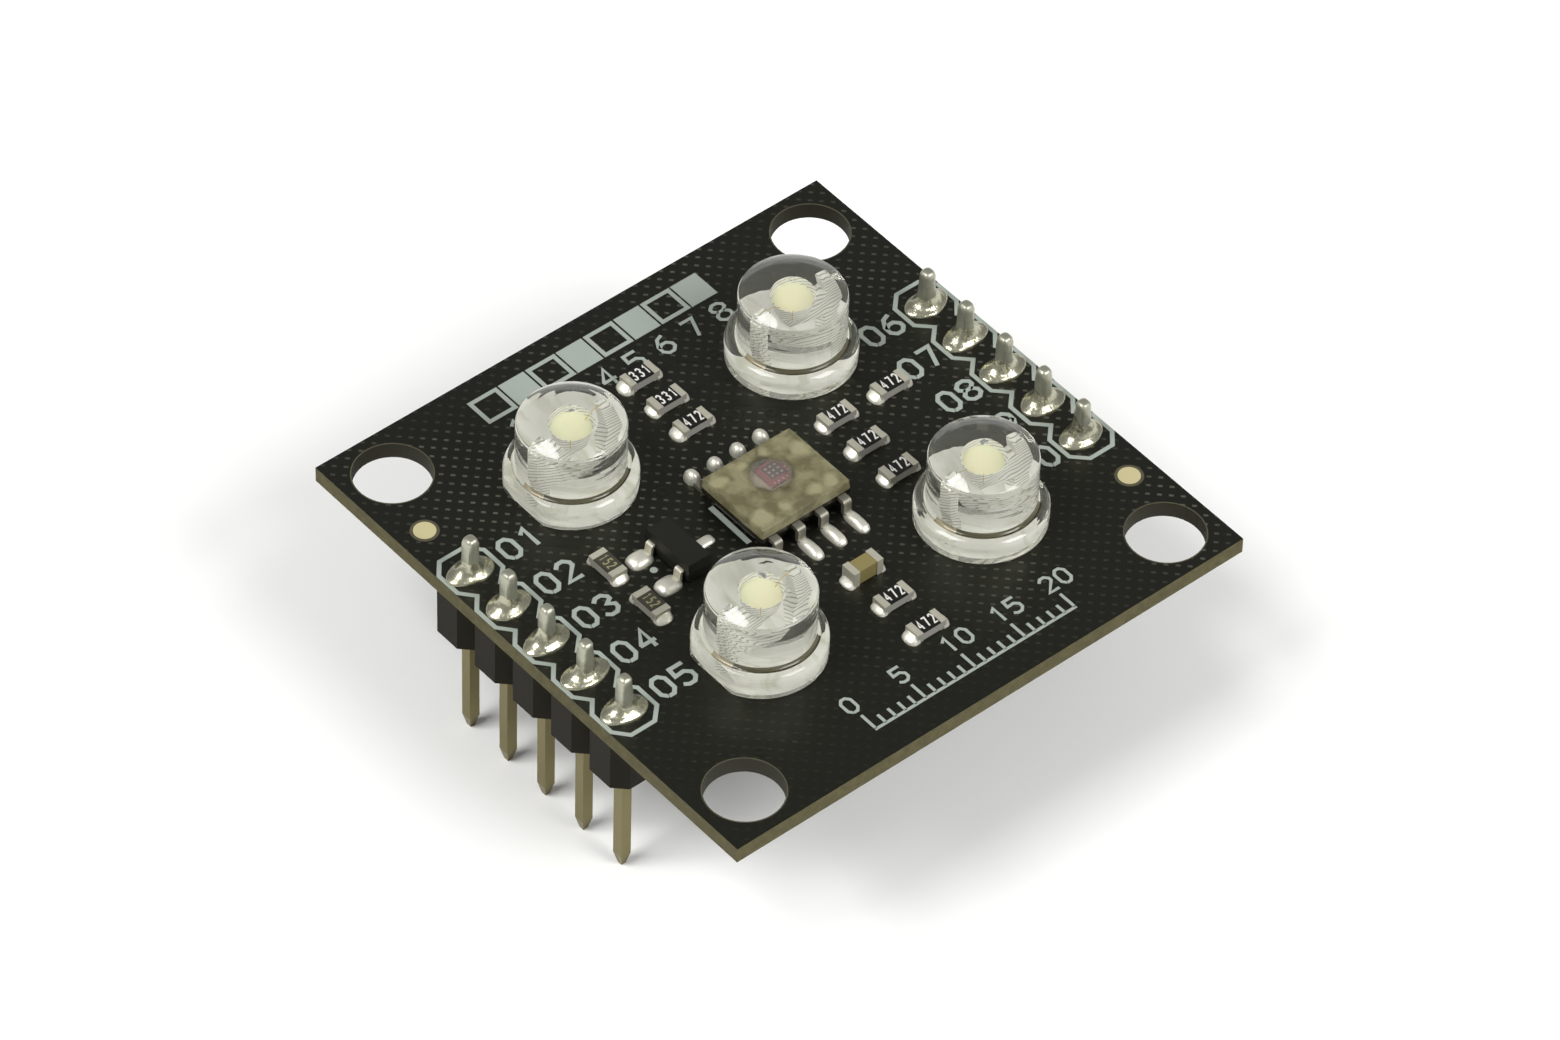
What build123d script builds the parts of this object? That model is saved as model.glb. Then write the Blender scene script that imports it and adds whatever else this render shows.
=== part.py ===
"""Color sensor module.

A square circuit board carries four clear flat-topped LEDs round a clear sensor chip, with eleven
chip resistors, a chip capacitor and a small transistor between them. Two five-pin headers hang under
opposite edges, and the module stands on the tips of their pins.

Millimetres. The origin is at the middle of the board's outline, on the plane of the pin tips.
+X runs along the header rows, +Y from the near header to the far one, and +Z up through the LEDs.
"""
import os
from math import atan, cos, degrees, radians, sin, sqrt

from build123d import *

# Header pins: square posts pressed through a plastic strip and soldered into the board
pin_pitch = 2.54
pins_per_header = 5
pin_width = 0.53
pin_tip_width = 0.24
pin_tip_length = 0.65
pin_mating_length = 6.14
pin_top_length = 2.06

# Header strips: one eight-sided block for each pin, joined in a row
housing_width = 2.54
housing_height = 2.54
housing_corner_cut = 0.60
housing_edge_gap = 0.03

# Board
board_size = 27.94
board_thickness = 0.80
mounting_hole_diameter = 3.50
mounting_hole_inset = 2.33
drill_clearance = 0.10

# Solder cones round the header pins, long across the row. The waist is the share of the base's
# flare that is left at the waist's height.
header_joint_length = 2.30
header_joint_width = 1.44
header_joint_height = 1.10
header_joint_waist = 0.20
header_joint_waist_height = 0.37
joint_collar = 0.03

# LEDs: a clear lens cast round two stamped leads
led_spacing_x = 12.45
led_spacing_y = 12.25
led_offset_x = -0.27
led_offset_y = 0.08
lens_diameter = 4.80
lens_rim_height = 3.66
lens_crown_rise = 0.80
lens_rim_bevel = 0.10
flange_diameter = 5.85
flange_height = 1.25
flange_bevel = 0.35
flange_flat_cut = 0.34
led_lead_width = 0.50
led_lead_pitch = 2.54
led_lead_stub = 1.20
cup_diameter = 1.74
cup_base_diameter = 1.22
cup_height = 0.85
cup_wall = 0.10
cup_cover = 0.55
post_cover = 0.45
post_gap = 0.37
post_width = 0.56
post_corner_cut = 0.10
anvil_height = 0.55
anvil_toe = 0.35
phosphor_drop = 0.16
led_die_size = 0.36
led_die_height = 0.15

# Solder cones round the LED leads, under the board
led_joint_diameter = 1.70
led_joint_height = 0.95

# Sensor chip: a clear moulded package with four leads on each long side
chip_x = -0.12
chip_y = -0.06
chip_width = 4.10
chip_length = 4.95
chip_height = 1.30
chip_standoff = 0.10
chip_draft = 7.0
window_diameter = 2.45
window_depth = 0.06
window_off_x = -0.37
window_off_y = 0.02
chip_lead_count = 4
chip_lead_pitch = 1.27
chip_lead_width = 0.42
chip_lead_thickness = 0.20
chip_lead_span = 6.00
chip_lead_foot = 0.62
chip_lead_shoulder = 0.35
chip_lead_inside = 0.62
lead_bend_radius = 0.12
# The die pad lies between the two rows of leads and the die on the pad. Each gap and margin is the one
# on the left and on the right of its piece.
die_pad_gap_left = 0.20
die_pad_gap_right = 0.96
die_pad_length = 2.90
die_pad_thickness = 0.20
die_pad_off_y = 0.20
sensor_die_margin_left = 0.055
sensor_die_margin_right = 0.295
sensor_die_height = 0.28
sensor_die_off_y = 0.36

# Chip resistors and the chip capacitor: (x, y, turn about z in degrees) of each
small_part_length = 1.60
small_part_width = 0.80
resistor_height = 0.48
terminal_length = 0.32
terminal_thickness = 0.04
glaze_rise = 0.02
left_bank_x = (-9.30, -7.50, -5.75)
right_bank_x = (7.42, 9.52)
top_bank_x = (-2.20, -0.20, 1.86)
front_bank_x = (-1.53, 1.33)
middle_row_y = 0.05
top_row_y = 5.10
lone_resistor = (-2.16, 8.07)
front_row_y = -8.10
capacitor_x = 5.43
capacitor_height = 0.82

# Transistor in a three-lead package, its long side along X
transistor_x = -0.20
transistor_y = -5.37
transistor_length = 2.90
transistor_width = 1.30
transistor_height = 0.95
transistor_standoff = 0.08
transistor_draft = 6.0
transistor_pitch = 0.95
transistor_lead_width = 0.42
transistor_lead_thickness = 0.14
transistor_lead_span = 2.40
transistor_lead_foot = 0.38
transistor_lead_shoulder = 0.12
transistor_lead_inside = 0.30
transistor_bend_radius = 0.085

# Solder on the flat-mounted parts. The hollow and the bulge are where the solder's curve passes,
# as shares of its run and its rise. The heel is its height behind the foot, as a share of its rise.
solder_run = 0.34
solder_rise = 0.30
solder_margin = 0.09
solder_hollow = 0.38
solder_bulge = 0.62
solder_heel = 0.8
chip_solder_run = 0.70
chip_solder_rise = 0.27
transistor_solder_run = 0.55
transistor_solder_rise = 0.38

# Heights of the stack, up from the pin tips
board_bottom = pin_mating_length + housing_height
board_top = board_bottom + board_thickness
row_y = board_size / 2 - housing_width / 2 - housing_edge_gap
pin_hole_diameter = pin_width * sqrt(2) + 2 * drill_clearance
led_hole_diameter = led_lead_width * sqrt(2) + 2 * drill_clearance
pin_xs = [(i - (pins_per_header - 1) / 2) * pin_pitch for i in range(pins_per_header)]
hole_spacing = board_size - 2 * mounting_hole_inset

# Heights inside an LED, up from the board
crown_height = lens_rim_height + lens_crown_rise
cup_rim = lens_rim_height - cup_cover
cup_base = cup_rim - cup_height
fill_top = cup_rim - phosphor_drop
fill_base = cup_base + cup_wall
post_top = lens_rim_height - post_cover
post_inner = cup_diameter / 2 + post_gap

# Heights inside the sensor chip, up from the board
chip_middle = chip_standoff + chip_height / 2
die_base = chip_middle + die_pad_thickness / 2

# The die pad and the die across the chip, from its middle
die_pad_width = chip_width - 2 * chip_lead_inside - die_pad_gap_left - die_pad_gap_right
die_pad_off_x = (die_pad_gap_left - die_pad_gap_right) / 2
sensor_die_size = die_pad_width - sensor_die_margin_left - sensor_die_margin_right
sensor_die_off_x = die_pad_off_x + (sensor_die_margin_left - sensor_die_margin_right) / 2

resistor_places = (
    [(x, middle_row_y, 90) for x in left_bank_x + right_bank_x]
    + [(x, top_row_y, 90) for x in top_bank_x]
    + [(*lone_resistor, 90)]
    + [(x, front_row_y, 0) for x in front_bank_x]
)
capacitor_place = (capacitor_x, middle_row_y, 90)


def save(piece, name):
    """Label a finished piece and write it as parts/name.step."""
    piece.part.label = name
    export_step(piece.part, f"parts/{name}.step")


def on_board(x, y, turn=0.0, height=0.0):
    """Plane on the board's top face at x, y, its own x axis turned about z."""
    x_dir = (cos(radians(turn)), sin(radians(turn)), 0)
    return Plane(origin=(x, y, board_top + height), x_dir=x_dir, z_dir=(0, 0, 1))


def standing(x, y, turn):
    """Upright plane on the board: its x axis points along turn, its y axis up."""
    a = radians(turn)
    return Plane(origin=(x, y, board_top), x_dir=(cos(a), sin(a), 0), z_dir=(sin(a), -cos(a), 0))


# Places of the LEDs. The flats of the left near and right near ones face -Y, the far ones +Y.
led_planes = [
    on_board(led_offset_x + side_x * led_spacing_x / 2, led_offset_y + side_y * led_spacing_y / 2, turn)
    for side_x, side_y, turn in ((-1, -1, 0), (-1, 1, 180), (1, 1, 180), (1, -1, 0))
]


def led_holes(place):
    """Centres of one LED's two lead holes, in the board's x and y."""
    lead_offsets = (-led_lead_pitch / 2, led_lead_pitch / 2)
    return [(place.origin + place.y_dir * offset) for offset in lead_offsets]


def make_board():
    """Board: a square plate with mounting holes, pin holes and LED lead holes drilled through."""
    with BuildPart() as board:
        with BuildSketch(Plane.XY.offset(board_bottom)):
            Rectangle(board_size, board_size)
            with GridLocations(hole_spacing, hole_spacing, 2, 2):
                Circle(mounting_hole_diameter / 2, mode=Mode.SUBTRACT)
            with GridLocations(pin_pitch, 2 * row_y, pins_per_header, 2):
                Circle(pin_hole_diameter / 2, mode=Mode.SUBTRACT)
            for place in led_planes:
                with Locations(*[(hole.X, hole.Y) for hole in led_holes(place)]):
                    Circle(led_hole_diameter / 2, mode=Mode.SUBTRACT)
        extrude(amount=board_thickness)
    save(board, "circuit_board")


def make_header(side, y):
    """One header: its pins, its notched strip and the solder cones on top of the board."""
    tip_taper = degrees(atan((pin_width - pin_tip_width) / 2 / pin_tip_length))
    shaft_top = board_top + pin_top_length - pin_tip_length
    places = [(x, y) for x in pin_xs]

    with BuildPart() as pins:
        with BuildSketch(Plane.XY.offset(pin_tip_length)):
            with Locations(*places):
                Rectangle(pin_width, pin_width)
        extrude(amount=shaft_top - pin_tip_length)
        with BuildSketch(Plane.XY.offset(shaft_top)):
            with Locations(*places):
                Rectangle(pin_width, pin_width)
        extrude(amount=pin_tip_length, taper=tip_taper)
        with BuildSketch(Plane(origin=(0, 0, pin_tip_length), x_dir=(1, 0, 0), z_dir=(0, 0, -1))):
            with Locations(*[(x, -row) for x, row in places]):
                Rectangle(pin_width, pin_width)
        extrude(amount=pin_tip_length, taper=tip_taper)
    save(pins, f"header_pins_{side}")

    with BuildPart() as housing:
        with BuildSketch(Plane.XY.offset(pin_mating_length)):
            for place in places:
                with BuildSketch(mode=Mode.PRIVATE) as block:
                    Rectangle(pin_pitch, housing_width)
                    chamfer(block.vertices(), housing_corner_cut)
                with Locations(place):
                    add(block.sketch)
        extrude(amount=housing_height)
        add(pins.part, mode=Mode.SUBTRACT)
    save(housing, f"header_housing_{side}")

    collar = pin_width / sqrt(2) + joint_collar
    joint_levels = ((0, 1), (header_joint_waist_height, header_joint_waist), (header_joint_height, 0))
    with BuildPart() as solder:
        for place in places:
            for rise, flare in joint_levels:
                with BuildSketch(Plane.XY.offset(board_top + rise)):
                    with Locations(place):
                        Ellipse(collar + flare * (header_joint_width / 2 - collar),
                                collar + flare * (header_joint_length / 2 - collar))
            loft(ruled=True)
        add(pins.part, mode=Mode.SUBTRACT)
    save(solder, f"header_solder_{side}")


def led_axis(place):
    """Upright line through the middle of an LED."""
    return Axis(place.origin, (0, 0, 1))


def led_section(place):
    """Upright plane through an LED's axis and both its leads: x across to the anode, y up."""
    return Plane(origin=place.origin, x_dir=place.y_dir, z_dir=place.x_dir)


def lead_profile(centre, knee, head_inner, head_outer, top):
    """Outline of a stamped lead: a straight leg that cranks out to a wider head."""
    half = led_lead_width / 2
    leg_base = -board_thickness - led_lead_stub
    head_base = knee + abs(head_outer - centre)
    return [
        (centre - half, leg_base), (centre + half, leg_base), (centre + half, knee),
        (head_outer, head_base), (head_outer, top), (head_inner, top), (head_inner, head_base),
        (centre - half, knee),
    ]


def make_led(number, place):
    """One LED: cathode with its cup, anode post, die, phosphor fill and the lens cast round them."""
    section = led_section(place)
    axis = led_axis(place)
    lead_centre = led_lead_pitch / 2
    knee = cup_base - anvil_height - post_width

    with BuildPart() as anode:
        with BuildSketch(section) as outline:
            Polygon(*lead_profile(lead_centre, knee, post_inner, post_inner + post_width, post_top), align=None)
            chamfer(outline.vertices().group_by(Axis.Y)[-1], post_corner_cut)
        extrude(amount=led_lead_width / 2, both=True)
    save(anode, f"led_anode_{number}")

    with BuildPart() as cathode:
        with BuildSketch(section) as outline:
            leg = lead_profile(lead_centre, knee, post_inner, post_inner + post_width, post_top)
            Polygon(*[(-x, y) for x, y in reversed(leg)], align=None)
            chamfer(outline.vertices().group_by(Axis.Y)[-1], post_corner_cut)
            Polygon((-lead_centre, knee), (anvil_toe, cup_base - anvil_height),
                    (cup_base_diameter / 2, cup_base), (cup_base_diameter / 2, cup_base + cup_wall),
                    (-post_inner - post_width / 2, cup_base + cup_wall), align=None)
        extrude(amount=led_lead_width / 2, both=True)
        with BuildSketch(section):
            Polygon((0, cup_base), (cup_base_diameter / 2, cup_base), (cup_diameter / 2, cup_rim),
                    (0, cup_rim), align=None)
        revolve(axis=axis)
        with BuildSketch(section):
            Polygon((0, fill_base), (cup_base_diameter / 2 - cup_wall, fill_base),
                    (cup_diameter / 2 - cup_wall, cup_rim), (0, cup_rim), align=None)
        revolve(axis=axis, mode=Mode.SUBTRACT)
    save(cathode, f"led_cathode_{number}")

    with BuildPart(place) as die:
        with Locations((0, 0, fill_base)):
            Box(led_die_size, led_die_size, led_die_height, align=(Align.CENTER, Align.CENTER, Align.MIN))
    save(die, f"led_die_{number}")

    wall_slope = (cup_diameter - cup_base_diameter) / 2 / (cup_rim - fill_base)
    fill_radius = cup_base_diameter / 2 - cup_wall + wall_slope * (fill_top - fill_base)
    with BuildPart() as phosphor:
        with BuildSketch(section):
            Polygon((0, fill_base), (cup_base_diameter / 2 - cup_wall, fill_base), (fill_radius, fill_top),
                    (0, fill_top), align=None)
        revolve(axis=axis)
        add(die.part, mode=Mode.SUBTRACT)
    save(phosphor, f"led_phosphor_{number}")

    flange_radius = flange_diameter / 2
    lens_radius = lens_diameter / 2
    with BuildPart() as lens:
        with BuildSketch(section) as outline:
            with BuildLine():
                Polyline((0, crown_height), (0, 0), (flange_radius, 0), (flange_radius, flange_height),
                         (lens_radius, flange_height), (lens_radius, lens_rim_height))
                TangentArc((0, crown_height), (lens_radius, lens_rim_height), tangent=(1, 0))
            make_face()
            flange_edge = Vector(flange_radius, flange_height, 0)
            rim_edge = Vector(lens_radius, lens_rim_height, 0)
            chamfer(outline.vertices().sort_by_distance(flange_edge)[0], flange_bevel)
            chamfer(outline.vertices().sort_by_distance(rim_edge)[0], lens_rim_bevel)
        revolve(axis=axis)
        with BuildSketch(section):
            with Locations((-flange_radius + flange_flat_cut / 2, flange_height / 2)):
                Rectangle(flange_flat_cut, flange_height)
        extrude(amount=flange_radius, both=True, mode=Mode.SUBTRACT)
        for inner in (anode, cathode, die, phosphor):
            add(inner.part, mode=Mode.SUBTRACT)
    save(lens, f"led_lens_{number}")
    return anode.part, cathode.part


def make_led_solder(leads):
    """Solder cones under the board round every LED lead."""
    tip_radius = led_lead_width / sqrt(2) + joint_collar
    with BuildPart() as solder:
        for place in led_planes:
            for hole in led_holes(place):
                with Locations((hole.X, hole.Y, board_bottom)):
                    Cone(tip_radius, led_joint_diameter / 2, led_joint_height,
                         align=(Align.CENTER, Align.CENTER, Align.MAX))
        for lead in leads:
            add(lead, mode=Mode.SUBTRACT)
    save(solder, "led_solder")


def gull_wing(plane, start, shoulder, knee, toe, exit_height, thickness, width, bend_radius):
    """A lead bent out of strip: level out of the body, down, and flat along the board."""
    with BuildPart() as lead:
        with BuildSketch(plane):
            with BuildLine():
                FilletPolyline((start, exit_height), (shoulder, exit_height), (knee, thickness / 2),
                               (toe, thickness / 2), radius=bend_radius)
            trace(line_width=thickness)
        extrude(amount=width / 2, both=True)
    return lead


def lead_solder(plane, lead, heel, toe, run, rise, width):
    """Solder on one lead's pad: a bank along the foot that falls away past the toe."""
    with BuildPart() as solder:
        with BuildSketch(plane):
            with BuildLine():
                Polyline((toe + run, 0), (heel, 0), (heel, rise * solder_heel), (toe, rise))
                ThreePointArc((toe, rise), (toe + run * solder_bulge, rise * solder_bulge), (toe + run, 0))
            make_face()
        extrude(amount=width / 2 + solder_margin, both=True)
        add(lead.part, mode=Mode.SUBTRACT)
    return solder.part


def make_sensor():
    """Sensor chip: eight leads, the die on its pad, and the clear package moulded round them."""
    half_width = chip_width / 2
    toe = chip_lead_span / 2
    solders = []
    leads = []
    for side, turn in enumerate((180, 0)):
        for row in range(chip_lead_count):
            offset = (row - (chip_lead_count - 1) / 2) * chip_lead_pitch
            plane = standing(chip_x, chip_y + offset, turn)
            lead = gull_wing(plane, half_width - chip_lead_inside, half_width + chip_lead_shoulder,
                             toe - chip_lead_foot, toe, chip_middle, chip_lead_thickness, chip_lead_width,
                             lead_bend_radius)
            save(lead, f"sensor_lead_{side * chip_lead_count + row + 1}")
            leads.append(lead)
            solders.append(lead_solder(plane, lead, toe - chip_lead_foot, toe, chip_solder_run,
                                       chip_solder_rise, chip_lead_width))

    with BuildPart(on_board(chip_x + die_pad_off_x, chip_y + die_pad_off_y, 0, chip_middle)) as die_pad:
        Box(die_pad_width, die_pad_length, die_pad_thickness)
    save(die_pad, "sensor_die_pad")

    with BuildPart(on_board(chip_x + sensor_die_off_x, chip_y + sensor_die_off_y, 0, die_base)) as die:
        Box(sensor_die_size, sensor_die_size, sensor_die_height,
            align=(Align.CENTER, Align.CENTER, Align.MIN))
    save(die, "sensor_die")

    with BuildPart() as package:
        for up in (1, -1):
            half = Plane(origin=(chip_x, chip_y, board_top + chip_middle), x_dir=(1, 0, 0), z_dir=(0, 0, up))
            with BuildSketch(half):
                Rectangle(chip_width, chip_length)
            extrude(amount=chip_height / 2, taper=chip_draft)
        with BuildSketch(on_board(chip_x + window_off_x, chip_y + window_off_y, 0, chip_standoff + chip_height)):
            Circle(window_diameter / 2)
        extrude(amount=-window_depth, mode=Mode.SUBTRACT)
        for inner in (*leads, die_pad, die):
            add(inner.part, mode=Mode.SUBTRACT)
    save(package, "sensor_package")
    return solders


def terminal_pair(place, height):
    """The two metal ends of a chip part: each wraps the end, top and bottom faces."""
    with BuildPart(place) as ends:
        Box(small_part_length, small_part_width, height, align=(Align.CENTER, Align.CENTER, Align.MIN))
        Box(small_part_length - 2 * terminal_length, small_part_width, height,
            align=(Align.CENTER, Align.CENTER, Align.MIN), mode=Mode.SUBTRACT)
        with Locations((0, 0, terminal_thickness)):
            Box(small_part_length - 2 * terminal_thickness, small_part_width,
                height - 2 * terminal_thickness, align=(Align.CENTER, Align.CENTER, Align.MIN),
                mode=Mode.SUBTRACT)
    return ends.part


def end_solder(x, y, turn, rise):
    """Concave solder banks from the board up to both ends of a chip part."""
    banks = []
    for way in (0, 180):
        with BuildPart() as bank:
            with BuildSketch(standing(x, y, turn + way)):
                with BuildLine():
                    start = small_part_length / 2
                    Polyline((start, rise), (start, 0), (start + solder_run, 0))
                    ThreePointArc((start + solder_run, 0),
                                  (start + solder_run * solder_hollow, rise * solder_hollow), (start, rise))
                make_face()
            extrude(amount=small_part_width / 2 + solder_margin / 2, both=True)
        banks.append(bank.part)
    return banks


def make_small_parts():
    """Resistors and the capacitor with their terminals, and the solder at their ends."""
    solders = []
    resistor_ends = []
    low = (Align.CENTER, Align.CENTER, Align.MIN)
    for number, (x, y, turn) in enumerate(resistor_places, start=1):
        place = on_board(x, y, turn)
        core_height = resistor_height - 2 * terminal_thickness
        with BuildPart(place) as body:
            with Locations((0, 0, terminal_thickness)):
                Box(small_part_length - 2 * terminal_thickness, small_part_width, core_height, align=low)
            with Locations((0, 0, terminal_thickness + core_height)):
                Box(small_part_length - 2 * terminal_length, small_part_width,
                    terminal_thickness + glaze_rise, align=low)
        save(body, f"resistor_{number}")
        resistor_ends.append(terminal_pair(place, resistor_height))
        solders += end_solder(x, y, turn, solder_rise)
    with BuildPart() as terminals:
        for pair in resistor_ends:
            add(pair)
    save(terminals, "resistor_terminals")

    x, y, turn = capacitor_place
    place = on_board(x, y, turn)
    inner_height = capacitor_height - 2 * terminal_thickness
    with BuildPart(place) as body:
        with Locations((0, 0, terminal_thickness)):
            Box(small_part_length - 2 * terminal_thickness, small_part_width - 2 * terminal_thickness,
                inner_height, align=low)
    save(body, "capacitor_body")
    with BuildPart(place) as terminals:
        Box(small_part_length, small_part_width, capacitor_height, align=low)
        Box(small_part_length - 2 * terminal_length, small_part_width, capacitor_height, align=low,
            mode=Mode.SUBTRACT)
        with Locations((0, 0, terminal_thickness)):
            Box(small_part_length - 2 * terminal_thickness, small_part_width - 2 * terminal_thickness,
                inner_height, align=low, mode=Mode.SUBTRACT)
    save(terminals, "capacitor_terminals")
    solders += end_solder(x, y, turn, solder_rise)
    return solders


def make_transistor():
    """Transistor: two leads towards -Y, one towards +Y, and the body moulded round them."""
    middle = transistor_standoff + transistor_height / 2
    toe = transistor_lead_span / 2
    start = transistor_width / 2
    solders = []
    leads = []
    for number, (offset, turn) in enumerate(((-transistor_pitch, -90), (transistor_pitch, -90), (0, 90)), 1):
        plane = standing(transistor_x + offset, transistor_y, turn)
        lead = gull_wing(plane, start - transistor_lead_inside, start + transistor_lead_shoulder,
                         toe - transistor_lead_foot, toe, middle, transistor_lead_thickness,
                         transistor_lead_width, transistor_bend_radius)
        save(lead, f"transistor_lead_{number}")
        leads.append(lead)
        solders.append(lead_solder(plane, lead, toe - transistor_lead_foot, toe, transistor_solder_run,
                                   transistor_solder_rise, transistor_lead_width + 2 * solder_margin))
    with BuildPart() as body:
        for up in (1, -1):
            half = Plane(origin=(transistor_x, transistor_y, board_top + middle), x_dir=(1, 0, 0),
                         z_dir=(0, 0, up))
            with BuildSketch(half):
                Rectangle(transistor_length, transistor_width)
            extrude(amount=transistor_height / 2, taper=transistor_draft)
        for lead in leads:
            add(lead.part, mode=Mode.SUBTRACT)
    save(body, "transistor_body")
    return solders


os.makedirs("parts", exist_ok=True)
make_board()
make_header("near", -row_y)
make_header("far", row_y)
led_leads = []
for led_number, led_place in enumerate(led_planes, start=1):
    led_leads += make_led(led_number, led_place)
make_led_solder(led_leads)
surface_solder = make_sensor() + make_small_parts() + make_transistor()
with BuildPart() as solder_banks:
    for solder_bank in surface_solder:
        add(solder_bank)
save(solder_banks, "surface_solder")
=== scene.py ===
"""Looks of the color sensor module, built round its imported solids.

Blender works in metres, and the pieces made here are worked out in millimetres in the part's own frame:
the origin at the middle of the board's outline on the plane of the pin tips, +X along the header rows,
+Y from the near header to the far one, +Z up through the LEDs.
"""

from math import cos, pi, radians, sin

import bmesh
import bpy
import numpy as np
from mathutils import Matrix, Vector


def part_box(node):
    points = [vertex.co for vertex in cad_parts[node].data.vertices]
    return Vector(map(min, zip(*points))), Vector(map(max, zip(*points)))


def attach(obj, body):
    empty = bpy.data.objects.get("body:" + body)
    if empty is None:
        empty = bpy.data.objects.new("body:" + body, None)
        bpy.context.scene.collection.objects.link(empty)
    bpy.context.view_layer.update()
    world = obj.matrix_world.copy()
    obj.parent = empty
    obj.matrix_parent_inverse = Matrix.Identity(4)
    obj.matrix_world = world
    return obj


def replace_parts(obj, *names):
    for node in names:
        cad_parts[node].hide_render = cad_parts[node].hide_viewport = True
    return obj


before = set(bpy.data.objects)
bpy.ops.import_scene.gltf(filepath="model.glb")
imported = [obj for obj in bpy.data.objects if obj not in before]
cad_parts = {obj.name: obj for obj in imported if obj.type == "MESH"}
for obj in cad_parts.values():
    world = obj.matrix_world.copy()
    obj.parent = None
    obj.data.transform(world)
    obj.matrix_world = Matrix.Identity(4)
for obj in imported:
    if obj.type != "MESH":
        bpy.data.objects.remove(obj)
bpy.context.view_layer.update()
mm = 0.001


def node_box(node):
    """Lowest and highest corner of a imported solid's box, in millimetres."""
    low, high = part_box(node)
    return np.array(low) / mm, np.array(high) / mm


def middle_of(node):
    """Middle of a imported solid's box, in millimetres."""
    return sum(node_box(node)) / 2


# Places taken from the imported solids
board_low, board_high = node_box("circuit_board")
board_top = board_high[2]
board_bottom = board_low[2]
board_half = board_high[0]
chip_low, chip_high = node_box("sensor_package")
chip_centre = middle_of("sensor_package")
chip_half = (chip_high - chip_low) / 2
window_offset = (-0.37, 0.02)
die_top = node_box("sensor_die")[1][2]
die_middle = middle_of("sensor_die")
pin_pitch = 2.54
pin_xs = [pin_pitch * step for step in (-2, -1, 0, 1, 2)]
row_y = -middle_of("header_housing_near")[1]
led_numbers = (1, 2, 3, 4)
led_boxes = {number: node_box(f"led_lens_{number}") for number in led_numbers}
led_middles = {number: middle_of(f"led_die_{number}") for number in led_numbers}
resistor_boxes = {number: node_box(f"resistor_{number}") for number in range(1, 12)}

# The LEDs' flats face -Y on the two near ones and +Y on the two far ones
led_flats = {1: -1, 2: 1, 3: 1, 4: -1}

# LED castings
lens_radius = 2.40
lens_rim_height = 3.66
lens_rim_round = 0.12
flange_height = 1.25
flange_round = 0.42
flange_flat_cut = 0.34
root_radius = 0.17
casting_gap = 0.04
# Ripples of the castings, slow and fine: depth and length
slow_ripples = (0.009, 0.52)
fine_ripples = (0.0014, 0.15)
# How far out each casting's foot is frosted
frost_radii = {1: 2.55, 2: 2.15, 3: 2.20, 4: 2.50}

# From and to which azimuth, in degrees, each casting's root carries its dark line of painted shade, and its
# beige arc
painted_shade_azimuths = (-68, 42)
beige_root_azimuths = (-92, -68)

# LED reflector cups and the phosphor in them
cup_floor_height = 2.36
cup_rim_height = 3.11
cup_floor_radius = 0.51
cup_rim_radius = 0.77
thin_rim_radius = 0.838
phosphor_height = 2.77
phosphor_edge_radius = 0.735
led_wire_radius = 0.016

# Header pins and their joints
pin_width = 0.53
joint_pad_length = 2.30
joint_pad_width = 1.50
joint_heights = (0.62, 0.55, 0.66, 0.48, 0.60, 0.58, 0.66, 0.52, 0.60, 1.10)
joint_coat = 0.035
joint_rim_height = 0.03
joint_dome_height = 0.24
joint_flare_power = 3.4
# How near to the pin's coat the dish reaches, as a share of the coat
joint_neck = 0.96
pin_top_height = 2.06

# Screen print
print_rise = 0.018
print_width = 0.20
outline_half = 1.27
outline_corner = 0.635

# Solder on the flat-mounted parts
part_half_length = 0.80
part_width = 0.80
resistor_mound_reach = 0.44
resistor_mound_bulge = 0.45
capacitor_mound_run = 0.36
capacitor_mound_rise = 0.42
capacitor_mound_bulge = 0.35

# Sensor chip's moulding: its window and the pale patches (x, y, radius) over the leads' inner ends
window_radius = 1.22
chip_wire_radius = 0.012
inner_lead_patches = ((-1.54, -2.02, 0.36), (1.23, -1.95, 0.40), (1.27, -0.72, 0.24), (1.30, 0.85, 0.26),
                      (1.35, 1.75, 0.30), (-0.90, 1.90, 0.34), (-1.62, 0.60, 0.16), (-1.60, -0.75, 0.18))
chip_dark_below = 0.95


# Helpers: colours and shader nodes

def linear(hex_colour):
    """sRGB hex such as '2c2c29' as the linear colour that a shader socket takes."""
    values = [int(hex_colour[i:i + 2], 16) / 255 for i in (0, 2, 4)]
    values = [v / 12.92 if v <= 0.04045 else ((v + 0.055) / 1.055) ** 2.4 for v in values]
    return (*values, 1.0)


def add_node(tree, kind, settings):
    """A shader node: settings name its properties or inputs, and a socket given there is linked."""
    node = tree.nodes.new("ShaderNode" + kind)
    for name, value in settings.items():
        if isinstance(value, bpy.types.NodeSocket):
            tree.links.new(value, node.inputs[name])
        elif isinstance(name, str) and hasattr(node, name):
            setattr(node, name, value)
        else:
            node.inputs[name].default_value = value
    return node


def object_place(tree):
    """Socket of the place in the part's own frame, in metres."""
    return add_node(tree, "TexCoord", {}).outputs["Object"]


def parts_of(tree, vector):
    """The X, Y and Z sockets of a vector."""
    return add_node(tree, "SeparateXYZ", {"Vector": vector}).outputs


def calculate(tree, operation, *inputs):
    """Socket of a math node whose inputs are numbers or sockets."""
    return add_node(tree, "Math", {"operation": operation, **dict(enumerate(inputs))}).outputs[0]


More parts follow.
